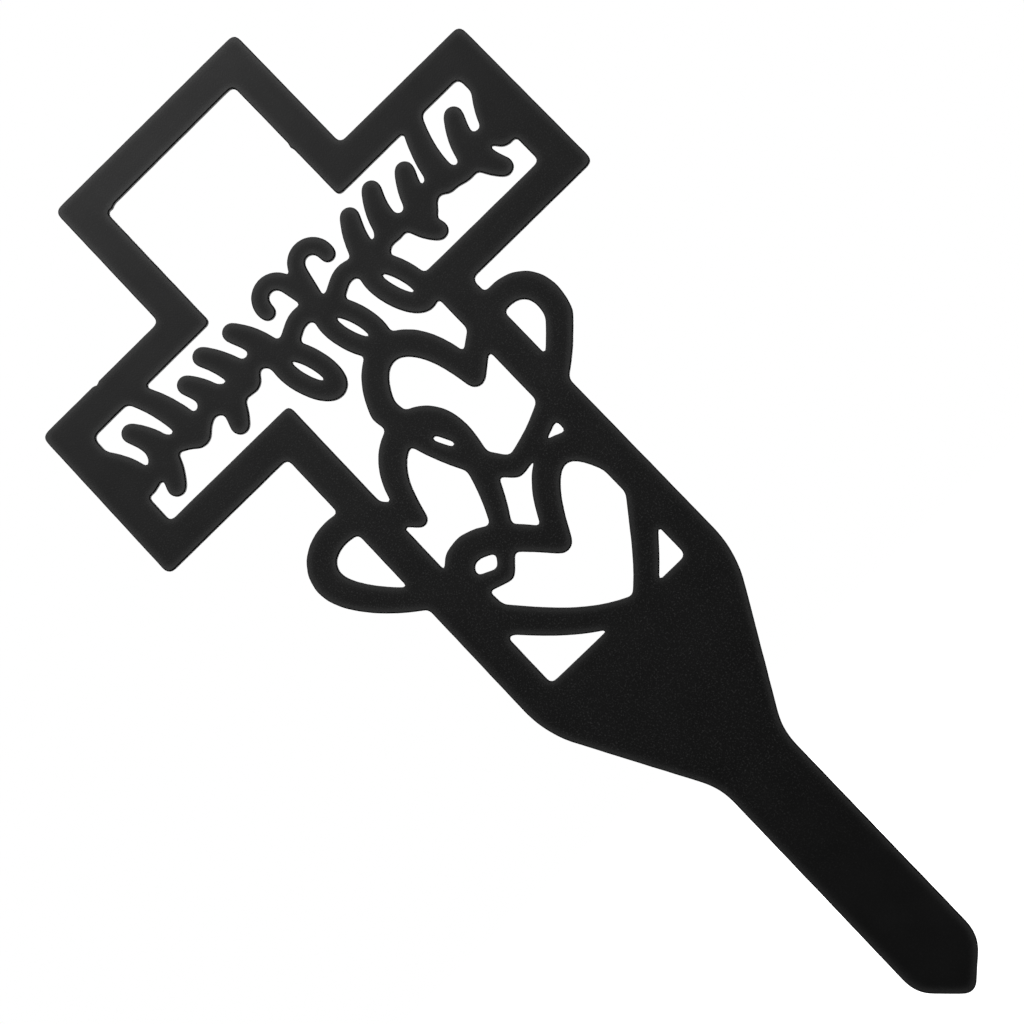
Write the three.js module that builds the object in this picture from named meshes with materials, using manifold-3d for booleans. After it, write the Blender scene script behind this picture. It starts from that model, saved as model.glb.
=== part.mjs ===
import * as THREE from "three";
import { mergeVertices } from "three/addons/utils/BufferGeometryUtils.js";
import Module from "manifold-3d";

// A grave cross on a stake, cut in one piece from flat steel plate and coated black. An open frame
// of even band follows the cross. Three interlaced hearts fill its stem, and a row of strokes fills
// its crossbar. X runs across the cross, Z up from the ground line, and the plate is thick along Y.
// The front faces -Y. Sizes are in millimetres.

// The plate and its cut edges
const plateThickness = 1.5;
const cornerEase = 1.1; // how far from a corner the cut starts to turn
const smallestOpening = 1; // in square millimetres: less than this stays uncut
const drawingStep = 0.3; // spacing of the points that an outline is eased with
const flatness = 0.03; // how far a straight edge may stray from the eased outline

// The frame, from the ground line up
const crossRise = 224.5;
const crossSpan = 150.5;
const stemWidth = 65.6;
const armRise = 40.5; // the top of the cross above its crossbar
const barHeight = 49.4;
const bandWidth = 9.75;
const endCornerRadius = 1.6;
const innerCornerRadius = 0.8;
const footHeight = 47.2; // the solid foot of the stem, below the hearts
const flareHeight = 39.2; // where the stem's sides start to draw in towards the stake
const flareRadius = 30;

// The stake, below the ground line
const stakeDepth = 76;
const stakeWidth = 21;
const neckRadius = 17;
const pointSlope = THREE.MathUtils.degToRad(42.5);
const pointRadius = 9;
const tipRadius = 3;

// The hearts. A tip is placed from the middle of the foot's upper edge, and a positive lean tips
// the heart to the left. Pairs are for the left and the right lobe: crest and widest along the
// heart's axis from its tip, reach across it. Its stroke swells from the ends to the middle.
const hearts = [
  {
    tip: [7.7, 45.4],
    lean: -19.7,
    notch: 25.1,
    crest: [41.1, 41.7],
    widest: [26.9, 30.7],
    reach: [24.8, 25.9],
    tipSpread: 62.7,
    flankFullness: -0.05,
    lobeFullness: 0.36,
    strokeEnds: 5.7,
    strokeMiddle: 7.2,
  },
  {
    tip: [-12.3, 27.5],
    lean: 14.6,
    notch: 25.9,
    crest: [42.8, 41.5],
    widest: [34.9, 32.2],
    reach: [26, 23.6],
    tipSpread: 56.9,
    flankFullness: 0.17,
    lobeFullness: 0.21,
    strokeEnds: 4.3,
    strokeMiddle: 7.8,
  },
  {
    tip: [7.3, -1.6],
    lean: 9.7,
    notch: 25.9,
    crest: [43.9, 40.3],
    widest: [25.4, 18.4],
    reach: [24.9, 25.2],
    tipSpread: 62.8,
    flankFullness: -0.22,
    lobeFullness: 0.5,
    strokeEnds: 6.1,
    strokeMiddle: 7.7,
  },
];
const heartSwell = 0.37; // the share of a heart's stroke from the notch to its widest place
const tipPull = 0.35; // how far up a heart's flank its tip directs it, as a share of the flank
const heartParting = { middle: [-0.8, 62.7], length: 6.4, width: 1.2, lean: 27 }; // between two strokes

// The row of strokes in the crossbar: a spray to each side of a pair of curls, over hanging drops
const rowLineWidth = 5.2;
const rowDrop = 2; // the row's line below the middle of the crossbar
const rowSway = 1.5; // the line's wave, from its middle to a crest
const sprayStrokes = 6; // on each side of the curls
const firstStroke = 17.3; // from the middle of the row
const lastStroke = 6.5; // from the end of the row
const strokeLean = THREE.MathUtils.degToRad(18);
const strokeFoot = 7.8;
const strokeTip = 5.4;
const strokeGap = 1.7; // the least between a stroke's end and the band above
const strokeVariation = 3; // how much shorter than that a stroke may be
const variationTurn = THREE.MathUtils.degToRad(137.5); // between strokes, so that neighbours differ
const tiedStroke = 3; // this one runs on into the band, counted from the curls
const hangingStrokes = [1.7, 4.1]; // counted in the same way, and between strokes
const hangingGap = 2.6; // between a hanging stroke's end and the band below
const curlWidth = 4.6;
const curlOverlap = 0.5; // where the two curls rise side by side
const curlRadius = 4.4;
const curlRise = 13.8; // the crest of a curl's centreline above the line
const curlEnd = THREE.MathUtils.degToRad(-15);
const dropCount = 3;
const dropPitch = 16;
const dropShift = 2.5;
const dropLength = 17;
const dropWidth = 7.2;
const dropLean = 0.25; // sideways shift for each millimetre down
const dropStroke = 5.2;

// How finely curves are drawn before they are thinned
const arcPoints = 8;
const capPoints = 5;
const strokePoints = 14;
const linePoints = 96;

const wasm = await Module();
wasm.setup();

const barTop = crossRise - armRise;
const barBottom = barTop - barHeight;
const rowLine = (barTop + barBottom) / 2 - rowDrop;
const rowEnd = crossSpan / 2 - bandWidth / 2;

// A flat plate of the cross's thickness with these shapes, lying on Z
function plate(shapes) {
  return new THREE.ExtrudeGeometry(shapes, { depth: plateThickness, bevelEnabled: false });
}

function solid(geometry) {
  geometry.deleteAttribute("normal");
  geometry.deleteAttribute("uv");
  const merged = mergeVertices(geometry);
  const vertProperties = merged.attributes.position.array;
  const triVerts = new Uint32Array(merged.index.array);
  return new wasm.Manifold(new wasm.Mesh({ numProp: 3, vertProperties, triVerts }));
}

function join(solids) {
  return solids.reduce((joined, piece) => joined.add(piece));
}

// A closed outline through the corners [x, z, radius], each turned with an arc of its radius
function roundedOutline(corners) {
  const path = new THREE.Path();
  corners.forEach(([x, z, radius], i) => {
    const corner = new THREE.Vector2(x, z);
    const back = new THREE.Vector2(...corners.at(i - 1)).sub(corner).normalize();
    const ahead = new THREE.Vector2(...corners[(i + 1) % corners.length]).sub(corner).normalize();
    const opening = Math.acos(back.dot(ahead)) / 2;
    const centre = back.clone().add(ahead).setLength(radius / Math.sin(opening)).add(corner);
    const start = back.setLength(radius / Math.tan(opening)).add(corner).sub(centre).angle();
    const end = ahead.setLength(radius / Math.tan(opening)).add(corner).sub(centre).angle();
    const turn = THREE.MathUtils.euclideanModulo(end - start, 2 * Math.PI);
    path.absarc(centre.x, centre.y, radius, start, end, turn > Math.PI);
  });
  return path.getPoints(arcPoints);
}

// The corners of a whole outline, from those of its right half from the top down
function mirrored(corners) {
  const left = corners.filter(([x]) => x > 0).map(([x, z, radius]) => [-x, z, radius]);
  return [...left, ...corners.toReversed()];
}

// The cross's own outline, from the top arm down to the stake's tip
function crossOutline() {
  const tipCorner = -stakeDepth - tipRadius * (1 / Math.cos(pointSlope) - 1);
  const pointTop = tipCorner + (stakeWidth / 2) * Math.tan(pointSlope);
  return roundedOutline(mirrored([
    [stemWidth / 2, crossRise, endCornerRadius],
    [stemWidth / 2, barTop, innerCornerRadius],
    [crossSpan / 2, barTop, endCornerRadius],
    [crossSpan / 2, barBottom, endCornerRadius],
    [stemWidth / 2, barBottom, innerCornerRadius],
    [stemWidth / 2, flareHeight, flareRadius],
    [stakeWidth / 2, 0, neckRadius],
    [stakeWidth / 2, pointTop, pointRadius],
    [0, tipCorner, tipRadius],
  ]));
}

// The window that the band surrounds, down to the solid foot of the stem
function windowOutline() {
  const side = stemWidth / 2 - bandWidth;
  const end = crossSpan / 2 - bandWidth;
  return roundedOutline(mirrored([
    [side, crossRise - bandWidth, innerCornerRadius],
    [side, barTop - bandWidth, innerCornerRadius],
    [end, barTop - bandWidth, innerCornerRadius],
    [end, barBottom + bandWidth, innerCornerRadius],
    [side, barBottom + bandWidth, innerCornerRadius],
    [side, footHeight, innerCornerRadius],
  ]));
}

function frame() {
  const shape = new THREE.Shape(crossOutline());
  shape.holes = [new THREE.Path(windowOutline())];
  return solid(plate(shape));
}

// A stroke along a centreline, round at its ends and joints. Its width follows from the share of
// the centreline that lies behind.
function stroke(centreline, widthAt) {
  const radii = centreline.map((_, i) => widthAt(i / (centreline.length - 1)) / 2);
  const lengths = centreline.slice(1).map((to, i) => {
    const from = centreline[i];
    const side = to.clone().sub(from).angle() + Math.PI / 2;
    const outline = new THREE.Path();
    outline.absarc(from.x, from.y, radii[i], side, side + Math.PI);
    outline.absarc(to.x, to.y, radii[i + 1], side - Math.PI, side);
    return solid(plate(new THREE.Shape(outline.getPoints(capPoints))));
  });
  return join(lengths);
}

// One heart as two strokes, each from the notch over a lobe and down its flank to the tip
function heart(sizes) {
  const { notch, crest, widest, reach, flankFullness, lobeFullness, strokeEnds, strokeMiddle } = sizes;
  const tip = new THREE.Vector2(sizes.tip[0], sizes.tip[1] + footHeight);
  const lean = THREE.MathUtils.degToRad(sizes.lean);
  const tipSlope = Math.tan(THREE.MathUtils.degToRad(sizes.tipSpread));
  const skew = Math.log(0.5) / Math.log(heartSwell);
  const swell = (share) => THREE.MathUtils.lerp(strokeEnds, strokeMiddle, Math.sin(Math.PI * share ** skew));
  const halves = [-1, 1].map((side, i) => {
    const place = (across, along) =>
      new THREE.Vector2(side * across, along).rotateAround(new THREE.Vector2(), lean).add(tip);
    const lobePull = (crest[i] - (notch + widest[i]) / 8) / 0.75; // so that the curve's middle is the crest
    const flankPull = tipPull * widest[i];
    const lobe = new THREE.CubicBezierCurve(
      place(0, notch),
      place(reach[i] * lobeFullness, lobePull),
      place(reach[i], lobePull),
      place(reach[i], widest[i]),
    );
    const flank = new THREE.CubicBezierCurve(
      place(reach[i], widest[i]),
      place(reach[i], widest[i] * (1 - flankFullness)),
      place(flankPull * tipSlope, flankPull),
      place(0, 0),
    );
    const lobePoints = lobe.getSpacedPoints(strokePoints);
    return stroke([...lobePoints, ...flank.getSpacedPoints(strokePoints).slice(1)], swell);
  });
  return join(halves);
}

// The narrow gap where the strokes of two crossing hearts part
function parting() {
  const { middle, length, width, lean } = heartParting;
  const centre = new THREE.Vector2(middle[0], middle[1] + footHeight);
  const heading = Math.PI / 2 + THREE.MathUtils.degToRad(lean);
  const reach = new THREE.Vector2(Math.cos(heading), Math.sin(heading)).multiplyScalar((length - width) / 2);
  return stroke([centre.clone().add(reach), centre.clone().sub(reach)], () => width);
}

// The height of the row's line at a place across the cross: it dips to each drop
function lineHeight(across) {
  return rowLine - rowSway * Math.cos((2 * Math.PI * (across - dropShift)) / dropPitch);
}

// One stroke of a spray, which bends outwards from the line to its end
function sprayStroke(side, count, end) {
  const pitch = (rowEnd - firstStroke - lastStroke) / (sprayStrokes - 1);
  const foot = firstStroke + count * pitch;
  const base = lineHeight(side * foot);
  const lean = Math.abs(end - base) * Math.tan(strokeLean);
  const curve = new THREE.QuadraticBezierCurve(
    new THREE.Vector2(side * foot, base),
    new THREE.Vector2(side * foot, (base + end) / 2),
    new THREE.Vector2(side * (foot + lean), end),
  );
  const taper = (share) => THREE.MathUtils.lerp(strokeFoot, strokeTip, share);
  return stroke(curve.getPoints(strokePoints / 2), taper);
}

function spray(side) {
  const highest = barTop - bandWidth - strokeGap - strokeTip / 2;
  const lowest = barBottom + bandWidth + hangingGap + strokeTip / 2;
  const strokes = hangingStrokes.map((count) => sprayStroke(side, count, lowest));
  for (let i = 0; i < sprayStrokes; i += 1) {
    const free = highest - strokeVariation * (1 - Math.sin(i * variationTurn)) / 2;
    strokes.push(sprayStroke(side, i, i === tiedStroke ? barTop - bandWidth / 2 : free));
  }
  return join(strokes);
}

// A curl that rises from the middle of the row and turns outwards
function curl(side) {
  const inner = (curlWidth - curlOverlap) / 2;
  const centre = curlRise - curlRadius;
  const path = new THREE.Path();
  path.moveTo(0, 0);
  path.lineTo(inner, centre);
  path.absarc(inner + curlRadius, centre, curlRadius, Math.PI, curlEnd, true);
  const points = path.getPoints(arcPoints).map(({ x, y }) => new THREE.Vector2(side * x, rowLine + y));
  return stroke(points, () => curlWidth);
}

// A drop with an open eye, hanging from the row's line
function drop(across) {
  const centre = lineHeight(across) - dropLength / 2;
  const ring = new THREE.EllipseCurve(0, 0, dropWidth / 2, dropLength / 2, 0, 2 * Math.PI);
  const place = ({ x, y }) => new THREE.Vector2(across + x - dropLean * y, centre + y);
  return stroke(ring.getPoints(strokePoints * 2).map(place), () => dropStroke);
}

function strokeRow() {
  const across = new THREE.LineCurve(new THREE.Vector2(-rowEnd, 0), new THREE.Vector2(rowEnd, 0));
  const line = across.getSpacedPoints(linePoints).map(({ x }) => new THREE.Vector2(x, lineHeight(x)));
  const parts = [stroke(line, () => rowLineWidth), spray(-1), spray(1), curl(-1), curl(1)];
  for (let i = 0; i < dropCount; i += 1) {
    parts.push(drop(dropShift + (i - (dropCount - 1) / 2) * dropPitch));
  }
  return join(parts);
}

// The closed outlines of a flat solid's top face, with the material on their left
function faceOutlines(flat) {
  const { vertProperties, triVerts } = flat.getMesh();
  const onTop = (vertex) => vertProperties[vertex * 3 + 2] > plateThickness / 2;
  const edges = new Set();
  for (let i = 0; i < triVerts.length; i += 3) {
    const corners = [...triVerts.slice(i, i + 3)];
    if (corners.every(onTop)) {
      corners.forEach((corner, k) => edges.add(`${corner} ${corners[(k + 1) % 3]}`));
    }
  }
  const next = new Map();
  for (const edge of edges) {
    const [from, to] = edge.split(" ");
    if (!edges.has(`${to} ${from}`)) {
      next.set(Number(from), Number(to));
    }
  }
  const outlines = [];
  while (next.size > 0) {
    const outline = [];
    let [vertex] = next.keys();
    while (next.has(vertex)) {
      outline.push(new THREE.Vector2(vertProperties[vertex * 3], vertProperties[vertex * 3 + 1]));
      const following = next.get(vertex);
      next.delete(vertex);
      vertex = following;
    }
    outlines.push(outline);
  }
  return outlines;
}

// The outline with its corners eased: each of its evenly spaced points moves to the mean of those
// within the ease
function eased(outline) {
  const path = new THREE.Path([...outline, outline[0]]);
  const count = Math.round(path.getLength() / drawingStep);
  const points = path.getSpacedPoints(count).slice(0, count);
  const reach = Math.round(cornerEase / drawingStep);
  return points.map((_, i) => {
    const mean = new THREE.Vector2();
    for (let k = -reach; k <= reach; k += 1) {
      mean.add(points[(i + k + count) % count]);
    }
    return mean.divideScalar(2 * reach + 1);
  });
}

// The points that a line needs to stay within the flatness
function thinned(points) {
  const first = points[0];
  const chord = points.at(-1).clone().sub(first);
  const strays = points.map((point) => {
    const run = point.clone().sub(first);
    return chord.length() > 0 ? Math.abs(chord.cross(run)) / chord.length() : run.length();
  });
  const furthest = Math.max(...strays);
  if (furthest <= flatness) {
    return [first, points.at(-1)];
  }
  const split = strays.indexOf(furthest);
  return [...thinned(points.slice(0, split + 1)), ...thinned(points.slice(split)).slice(1)];
}

// The whole cross as one plate, with its outline and openings cut to eased corners
function cutPlate() {
  const drawing = join([frame(), ...hearts.map(heart), strokeRow()]).subtract(parting());
  const outlines = faceOutlines(drawing)
    .filter((outline) => Math.abs(THREE.ShapeUtils.area(outline)) > smallestOpening)
    .map((outline) => {
      const points = eased(outline);
      return thinned([...points, points[0]]).slice(0, -1);
    })
    .sort((one, other) => THREE.ShapeUtils.area(other) - THREE.ShapeUtils.area(one));
  const rims = outlines.filter((outline) => THREE.ShapeUtils.area(outline) > 0);
  const openings = outlines.filter((outline) => THREE.ShapeUtils.area(outline) < 0);
  const shapes = rims.map((rim) => new THREE.Shape(rim));
  shapes[0].holes = openings.map((opening) => new THREE.Path(opening));
  const geometry = plate(shapes);
  geometry.translate(0, 0, -plateThickness / 2);
  geometry.rotateX(Math.PI / 2);
  return geometry;
}

const blackCoating = new THREE.MeshStandardMaterial({ color: 0x1f1f1f, roughness: 0.6, metalness: 0.1 });
const plateCross = new THREE.Mesh(cutPlate(), blackCoating);
plateCross.name = "grave_cross";
const graveCross = new THREE.Group();
graveCross.add(plateCross);

export default graveCross;
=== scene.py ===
import math

import bpy
from mathutils import Matrix, Vector, noise
from mathutils.geometry import tessellate_polygon


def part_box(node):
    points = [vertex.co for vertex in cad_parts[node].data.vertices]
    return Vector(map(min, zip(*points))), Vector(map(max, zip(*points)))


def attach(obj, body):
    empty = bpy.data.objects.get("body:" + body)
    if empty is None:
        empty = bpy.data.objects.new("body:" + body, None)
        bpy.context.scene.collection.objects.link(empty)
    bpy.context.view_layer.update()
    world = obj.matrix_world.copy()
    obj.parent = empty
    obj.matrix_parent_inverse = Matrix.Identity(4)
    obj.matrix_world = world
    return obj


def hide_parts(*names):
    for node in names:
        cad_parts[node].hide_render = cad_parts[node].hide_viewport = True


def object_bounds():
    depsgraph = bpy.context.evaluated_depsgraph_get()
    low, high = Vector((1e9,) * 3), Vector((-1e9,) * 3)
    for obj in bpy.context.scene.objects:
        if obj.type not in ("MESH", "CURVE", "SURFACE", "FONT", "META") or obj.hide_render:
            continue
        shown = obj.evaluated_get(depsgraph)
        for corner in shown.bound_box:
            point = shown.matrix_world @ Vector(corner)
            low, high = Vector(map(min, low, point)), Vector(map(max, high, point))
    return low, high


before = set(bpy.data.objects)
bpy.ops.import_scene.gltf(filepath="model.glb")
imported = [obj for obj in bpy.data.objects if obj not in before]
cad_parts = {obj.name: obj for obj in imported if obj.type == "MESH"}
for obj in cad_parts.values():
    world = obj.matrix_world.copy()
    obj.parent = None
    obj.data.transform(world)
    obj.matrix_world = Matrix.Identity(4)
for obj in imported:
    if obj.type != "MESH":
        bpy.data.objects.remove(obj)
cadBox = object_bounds()
print("scene: frame loaded")

# The camera, where the photograph was taken from. The cross lies across the picture, so it rolls.
cameraLook = {
    "position": (0.02525, -0.49632, 0.02332),
    "aim": (-0.00066, -0.00075, 0.08488),
    "roll": -43.667,  # degrees
    "lens": 70.3125,  # millimetres, as the sensor's width
    "sensor": 36,
    "nearest": 0.01,
}


def makeCamera():
    data = bpy.data.cameras.new("camera")
    data.lens = cameraLook["lens"]
    data.sensor_width = cameraLook["sensor"]
    data.clip_start = cameraLook["nearest"]
    camera = bpy.data.objects.new("camera", data)
    position = Vector(cameraLook["position"])
    gaze = (Vector(cameraLook["aim"]) - position).to_track_quat("-Z", "Y")
    roll = Matrix.Rotation(math.radians(cameraLook["roll"]), 4, "Z")
    camera.matrix_world = Matrix.Translation(position) @ gaze.to_matrix().to_4x4() @ roll
    bpy.context.collection.objects.link(camera)
    bpy.context.scene.camera = camera


makeCamera()
print("scene: camera placed")


# A node with its own constants, the outputs that feed its sockets, and its settings
def addNode(tree, kind, label, values=None, links=None, **settings):
    node = tree.nodes.new(kind)
    node.label = label
    for name, value in settings.items():
        setattr(node, name, value)
    for name, value in (values or {}).items():
        node.inputs[name].default_value = value
    for name, output in (links or {}).items():
        tree.links.new(output, node.inputs[name])
    return node


# The studio: a pale floor under the stake's tip, a white backdrop and soft boxes
studioLook = {
    "floorGap": 0.001,
    "floorSize": 8,
    "floorColour": (0.86, 0.86, 0.87, 1),
    "floorGlow": 1,
    "floorBounce": (0.06, 0.06, 0.06, 1),
    "floorRoughness": 0.9,
    "backdrop": 1.0,  # the strength that the camera sees
    "fill": 0.004,  # the strength that lights the cross
}
softBoxes = {
    "keyBox": {"position": (-0.05, -0.45, 0.75), "aim": (0, 0, 0.2), "size": (0.6, 0.4), "power": 4.8},
    "backBox": {"position": (0.3, 0.8, 0.7), "aim": (0, 0, 0.1), "size": (0.7, 0.5), "power": 7},
    "lowBox": {"position": (0, 0.45, 0.06), "aim": (0, 0, 0.1), "size": (0.4, 0.2), "power": 1},
}


# What the camera sees of the floor is paler than the light that it sends back
def makeFloorMaterial():
    material = bpy.data.materials.new("paleFloor")
    material.use_nodes = True
    tree = material.node_tree
    tree.nodes.clear()
    path = addNode(tree, "ShaderNodeLightPath", "ray")
    seen = addNode(tree, "ShaderNodeBsdfPrincipled", "seen floor", {
        "Base Color": studioLook["floorColour"],
        "Roughness": studioLook["floorRoughness"],
        "Specular IOR Level": 0,
        "Emission Color": (1, 1, 1, 1),
        "Emission Strength": studioLook["floorGlow"],
    })
    bounced = addNode(tree, "ShaderNodeBsdfPrincipled", "bounced floor", {
        "Base Color": studioLook["floorBounce"],
        "Roughness": studioLook["floorRoughness"],
        "Specular IOR Level": 0,
    })
    mix = addNode(tree, "ShaderNodeMixShader", "ray choice", links={"Fac": path.outputs["Is Camera Ray"]})
    tree.links.new(bounced.outputs[0], mix.inputs[1])
    tree.links.new(seen.outputs[0], mix.inputs[2])
    addNode(tree, "ShaderNodeOutputMaterial", "output", links={"Surface": mix.outputs[0]})
    return material


def makeFloor():
    half = studioLook["floorSize"] / 2
    height = cadBox[0].z - studioLook["floorGap"]
    corners = [(x * half, y * half, height) for x, y in ((-1, -1), (1, -1), (1, 1), (-1, 1))]
    mesh = bpy.data.meshes.new("floor")
    mesh.from_pydata(corners, [], [range(len(corners))])
    mesh.materials.append(makeFloorMaterial())
    floor = bpy.data.objects.new("floor", mesh)
    bpy.context.collection.objects.link(floor)


def makeWorld():
    world = bpy.data.worlds.new("studio")
    world.use_nodes = True
    tree = world.node_tree
    tree.nodes.clear()
    path = addNode(tree, "ShaderNodeLightPath", "ray")
    strength = addNode(tree, "ShaderNodeMapRange", "fill to backdrop", {
        "To Min": studioLook["fill"],
        "To Max": studioLook["backdrop"],
    }, {"Value": path.outputs["Is Camera Ray"]})
    background = addNode(tree, "ShaderNodeBackground", "background", {
        "Color": (1, 1, 1, 1),
    }, {"Strength": strength.outputs[0]})
    addNode(tree, "ShaderNodeOutputWorld", "output", links={"Surface": background.outputs[0]})
    bpy.context.scene.world = world


def makeSoftBox(name, look):
    data = bpy.data.lights.new(name, "AREA")
    data.shape = "RECTANGLE"
    data.size, data.size_y = look["size"]
    data.energy = look["power"]
    box = bpy.data.objects.new(name, data)
    box.location = look["position"]
    box.rotation_mode = "QUATERNION"
    box.rotation_quaternion = (Vector(look["aim"]) - box.location).to_track_quat("-Z", "Y")
    box.visible_camera = False
    bpy.context.collection.objects.link(box)


makeFloor()
makeWorld()
for boxName, boxLook in softBoxes.items():
    makeSoftBox(boxName, boxLook)
bpy.context.scene.view_settings.view_transform = "Standard"
print("scene: studio made")


# The plate, redrawn from the outlines of its solid with finely rounded, slightly wavering edges and
# the small marks on them. A burr stands out, so its depth is below zero.
plateLook = {
    "spacing": 0.0006,
    "fewestPoints": 12,
    "edgeRadius": 0.00032,
    "edgeSteps": 4,
    "waver": 0.00008,
    "waverLength": 0.004,
    "waverSeed": 3.7,
    "marks": {
        "crossbarNick": {"place": (-0.0555, 0.184), "reach": 0.001, "depth": 0.0005},
        "windowBurr": {"place": (0.0231, 0.1925), "reach": 0.001, "depth": -0.0003},
        "cornerBurr": {"place": (-0.0215, 0.2147), "reach": 0.0016, "depth": -0.0006},
    },
}


# The closed outlines of a plate's front face as points (x, z), with the plate on their left. They
# are the edges that only one face of it has.
def frontOutlines(node):
    digits = 6  # points nearer than a micrometre are one point
    frontNormal = -0.9  # the front face's normals point nearly along -y
    points = [(round(v.co.x, digits), round(v.co.z, digits)) for v in node.data.vertices]
    edges = {}
    for face in node.data.polygons:
        if face.normal.y < frontNormal:
            corners = [points[i] for i in face.vertices]
            edges.update(dict.fromkeys(zip(corners, corners[1:] + corners[:1])))
    following = {start: end for start, end in edges if (end, start) not in edges}
    outlines = []
    while following:
        point = next(iter(following))
        outline = []
        while point in following:
            outline.append(Vector(point))
            point = following.pop(point)
        outlines.append(outline)
    return outlines


# The outline through evenly spaced points
def resampled(outline):
    ends = outline[1:] + outline[:1]
    lengths = [(end - start).length for start, end in zip(outline, ends)]
    count = max(plateLook["fewestPoints"], round(sum(lengths) / plateLook["spacing"]))
    step = sum(lengths) / count
    points = []
    passed = 0
    for start, end, length in zip(outline, ends, lengths):
        while len(points) < count and len(points) * step < passed + length:
            points.append(start.lerp(end, (len(points) * step - passed) / length))
        passed += length
    return points


# At each point of the outline, the direction into the plate
def inwards(outline):
    count = len(outline)
    headings = [outline[(i + 1) % count] - outline[i - 1] for i in range(count)]
    return [Vector((-heading.y, heading.x)).normalized() for heading in headings]


# The outline as it was cut, with its waver and its marks
def wavered(outline):
    length, seed = plateLook["waverLength"], plateLook["waverSeed"]
    moved = []
    for point, inward in zip(outline, inwards(outline)):
        wave = noise.noise(Vector((point.x / length, seed, point.y / length)))
        depth = plateLook["waver"] * (1 + wave) / 2
        for mark in plateLook["marks"].values():
            away = (point - Vector(mark["place"])).length / mark["reach"]
            depth += mark["depth"] * max(0, 1 - away)
        moved.append(point + inward * depth)
    return moved


# The edge's section from the front face round to the back face, as (inset, y)
def edgeSection(halfThickness):
    radius, steps = plateLook["edgeRadius"], plateLook["edgeSteps"]
    turns = [math.pi / 2 * i / steps for i in range(steps, -1, -1)]
    front = [(radius * (1 - math.cos(a)), radius * (1 - math.sin(a)) - halfThickness) for a in turns]
    return front + [(inset, -y) for inset, y in reversed(front)]


# The rings of points round an outline, one for each point of the section
def edgeRings(outline, section):
    directions = inwards(outline)
    rings = []
    for inset, y in section:
        ring = [point + inward * inset for point, inward in zip(outline, directions)]
        rings.append([(point.x, y, point.y) for point in ring])
    return rings


# The faces that join each ring to the next, where the rings' vertices start at the number first
def edgeFaces(first, rings, count):
    faces = []
    for ring in range(rings - 1):
        start = first + ring * count
        for i in range(count):
            after = (i + 1) % count
            faces.append((start + i, start + count + i, start + count + after, start + after))
    return faces


# The triangles of the front face, each followed by the one behind it. An outline is a list of
# vertices in pairs, one on the front face and one on the back face.
def flatFaces(vertices, outlines):
    fronts, allPairs = [], []
    for pairs in outlines:
        places = [vertices[front] for front, back in pairs]
        fronts.append([Vector((x, z, 0)) for x, y, z in places])
        allPairs += pairs
    faces = []
    for triangle in tessellate_polygon(fronts):
        corners = [allPairs[i] for i in triangle]
        a, b, c = [Vector(vertices[front]) for front, back in corners]
        if (b - a).cross(c - a).y > 0:
            corners.reverse()
        faces.append([front for front, back in corners])
        faces.append([back for front, back in reversed(corners)])
    return faces


def makePlate(node):
    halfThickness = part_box(node.name)[1].y
    section = edgeSection(halfThickness)
    vertices, shadedCutEdge, edges, outlines = [], [], [], []
    for outline in frontOutlines(node):
        rings = edgeRings(wavered(resampled(outline)), section)
        first, count = len(vertices), len(rings[0])
        last = first + (len(rings) - 1) * count
        edges += edgeFaces(first, len(rings), count)
        outlines.append([(first + i, last + i) for i in range(count)])
        for ring, (inset, y) in zip(rings, section):
            vertices += ring
            shadedCutEdge += [float(abs(y) < halfThickness)] * count
    flats = flatFaces(vertices, outlines)

    mesh = bpy.data.meshes.new("coatedPlate")
    mesh.from_pydata(vertices, [], edges + flats)
    mesh.polygons.foreach_set("use_smooth", [True] * len(edges) + [False] * len(flats))
    # the cut edge's mask: 1 on the rings of its rounding and wall, where painted shade goes, 0 on the
    # faces
    cut = mesh.attributes.new("shadedCutEdge", "FLOAT", "POINT")
    cut.data.foreach_set("value", shadedCutEdge)
    mesh.validate()
    plate = bpy.data.objects.new("coatedPlate", mesh)
    bpy.context.collection.objects.link(plate)
    return plate


# The black powder coating: a faint mottle, a sandy grain that is strongest over the foot, a few
# light specks, a paler rim along the faces' edges as a painted highlight and a cut edge darkened by
# painted shade
coatingLook = {
    "darkGrain": (0.003, 0.003, 0.0031, 1),
    "lightGrain": (0.068, 0.068, 0.0685, 1),
    "grainSize": 0.0004,
    "grainDetail": 1,
    "grainRange": (0.55, 0.77),
    "grainShare": (-0.05, 0.95),
    "grainHeight": 0.00002,
    "sandyTop": (0.17, 0.1),  # heights that the sandy grain fades in between
    "sandyBottom": (-0.04, 0.0),
    "smoothShare": 0.12,
    "mottleSize": 0.012,
    "mottleDetail": 4,
    "mottleRange": (0.3, 0.7),
    "mottleShare": (0.065, 0.155),
    "speckColour": (0.07, 0.07, 0.07, 1),
    "speckSpacing": 0.0016,
    "speckSize": 0.00022,
    "speckShare": (0.35, 0.3),
    # painted highlight: the paler colour of the rim along the edges of the faces
    "rimHighlight": (0.08, 0.08, 0.08, 1),
    "rimWidth": 0.0037,
    "rimTurn": 0.3,
    "rimSamples": 6,
    # painted shade: the darker colour painted on the cut edge's rounding and wall
    "shadedCutEdge": (0.0015, 0.0015, 0.0015, 1),
    "roughness": (0.6, 0.3),  # on the dark grains and on the light ones
    "specular": 0.36,
}


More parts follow.
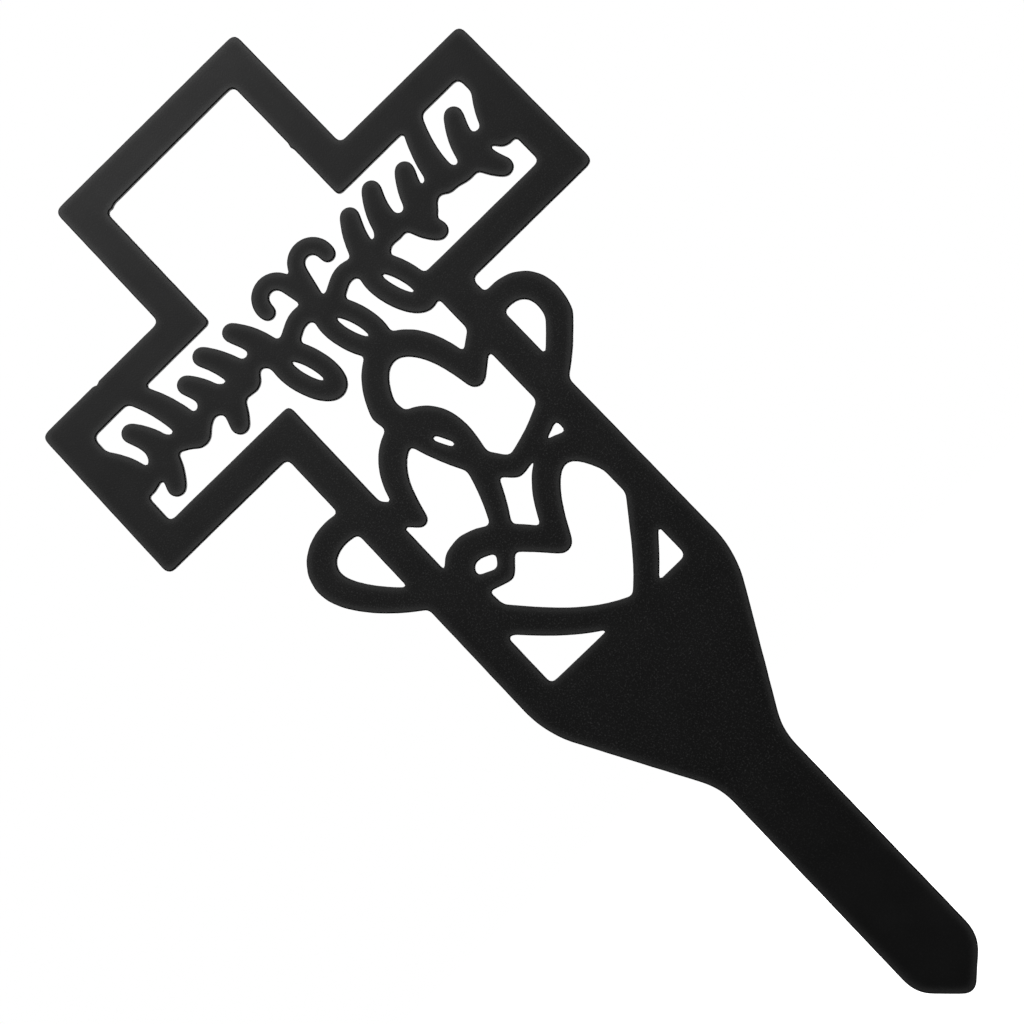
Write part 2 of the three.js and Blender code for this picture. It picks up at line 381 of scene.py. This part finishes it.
def makeCoating():
    look = coatingLook
    material = bpy.data.materials.new("blackCoating")
    material.use_nodes = True
    material.diffuse_color = look["darkGrain"]
    tree = material.node_tree
    tree.nodes.clear()

    def ramp(label, value, fromRange, toRange=(0, 1)):
        values = dict(zip(("From Min", "From Max", "To Min", "To Max"), (*fromRange, *toRange)))
        return addNode(tree, "ShaderNodeMapRange", label, values, {"Value": value}).outputs[0]

    def combine(label, operation, *terms):
        node = addNode(tree, "ShaderNodeMath", label, operation=operation)
        for socket, term in zip(node.inputs, terms):
            tree.links.new(term, socket)
        return node.outputs[0]

    def blend(label, factor, first, second):
        node = addNode(tree, "ShaderNodeMix", label, {"B": second}, {"Factor": factor}, data_type="RGBA")
        if isinstance(first, tuple):
            node.inputs["A"].default_value = first
        else:
            tree.links.new(first, node.inputs["A"])
        return node.outputs["Result"]

    place = addNode(tree, "ShaderNodeTexCoord", "place").outputs["Object"]
    height = addNode(tree, "ShaderNodeSeparateXYZ", "height", links={"Vector": place}).outputs["Z"]

    # Grain and mottle: how light the coat is, from 0 to 1
    grain = addNode(tree, "ShaderNodeTexNoise", "grain", {
        "Scale": 1 / look["grainSize"],
        "Detail": look["grainDetail"],
    }, {"Vector": place}).outputs["Fac"]
    mottle = addNode(tree, "ShaderNodeTexNoise", "mottle", {
        "Scale": 1 / look["mottleSize"],
        "Detail": look["mottleDetail"],
    }, {"Vector": place}).outputs["Fac"]
    belowTop = ramp("sandy below", height, look["sandyTop"], (look["smoothShare"], 1))
    aboveBottom = ramp("sandy above", height, look["sandyBottom"], (look["smoothShare"], 1))
    sandy = combine("sandy part", "MULTIPLY", belowTop, aboveBottom)
    grains = ramp("grains", grain, look["grainRange"], look["grainShare"])
    grit = combine("grit", "MULTIPLY", grains, sandy)
    drift = ramp("drift", mottle, look["mottleRange"], look["mottleShare"])
    shade = combine("shade", "ADD", grit, drift)

    # Specks: dots in the middle of a share of the cells
    cells = addNode(tree, "ShaderNodeTexVoronoi", "speck places", {
        "Scale": 1 / look["speckSpacing"],
    }, {"Vector": place})
    chosen = ramp("chosen specks", cells.outputs["Color"], look["speckShare"])
    dotRadius = look["speckSize"] / look["speckSpacing"]
    dots = ramp("speck dots", cells.outputs["Distance"], (dotRadius, 0))
    specks = combine("specks", "MULTIPLY", chosen, dots)

    # Rim, a painted highlight: the coat is painted paler where the normal of a widely rounded plate would
    # turn away from the face's own
    surface = addNode(tree, "ShaderNodeNewGeometry", "surface").outputs["Normal"]
    rounded = addNode(tree, "ShaderNodeBevel", "rounded", {
        "Radius": look["rimWidth"],
    }, samples=look["rimSamples"]).outputs["Normal"]
    turned = addNode(tree, "ShaderNodeVectorMath", "turned", operation="DOT_PRODUCT")
    tree.links.new(rounded, turned.inputs[0])
    tree.links.new(surface, turned.inputs[1])
    rim = ramp("rim", turned.outputs["Value"], (1, 1 - look["rimTurn"]))
    shadedCutEdge = addNode(tree, "ShaderNodeAttribute", "cut edge", attribute_name="shadedCutEdge").outputs["Fac"]
    faceHighlightMask = combine("rim of a face", "MULTIPLY", rim, ramp("face", shadedCutEdge, (1, 0)))

    coat = blend("coat colour", shade, look["darkGrain"], look["lightGrain"])
    speckled = blend("speckled colour", specks, coat, look["speckColour"])
    # painted highlight: the rim of each face is painted paler
    rimHighlighted = blend("colour with painted rim highlight", faceHighlightMask, speckled, look["rimHighlight"])
    # painted shade: the cut edge is painted darker than the coat
    edgeShaded = blend("colour with painted edge shade", shadedCutEdge, rimHighlighted, look["shadedCutEdge"])
    bump = addNode(tree, "ShaderNodeBump", "grain height", {
        "Strength": 1,
        "Distance": look["grainHeight"],
    }, {"Height": grain})
    shader = addNode(tree, "ShaderNodeBsdfPrincipled", "coating", {
        "Specular IOR Level": look["specular"],
    }, {
        "Base Color": edgeShaded,
        "Roughness": ramp("roughness", shade, (0, 1), look["roughness"]),
        "Normal": bump.outputs["Normal"],
    })
    addNode(tree, "ShaderNodeOutputMaterial", "output", links={"Surface": shader.outputs[0]})
    return material


crossPlate = makePlate(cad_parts["grave_cross"])
crossPlate.data.materials.append(makeCoating())
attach(crossPlate, "root")
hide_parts("grave_cross")
print("scene: plate made and coated")
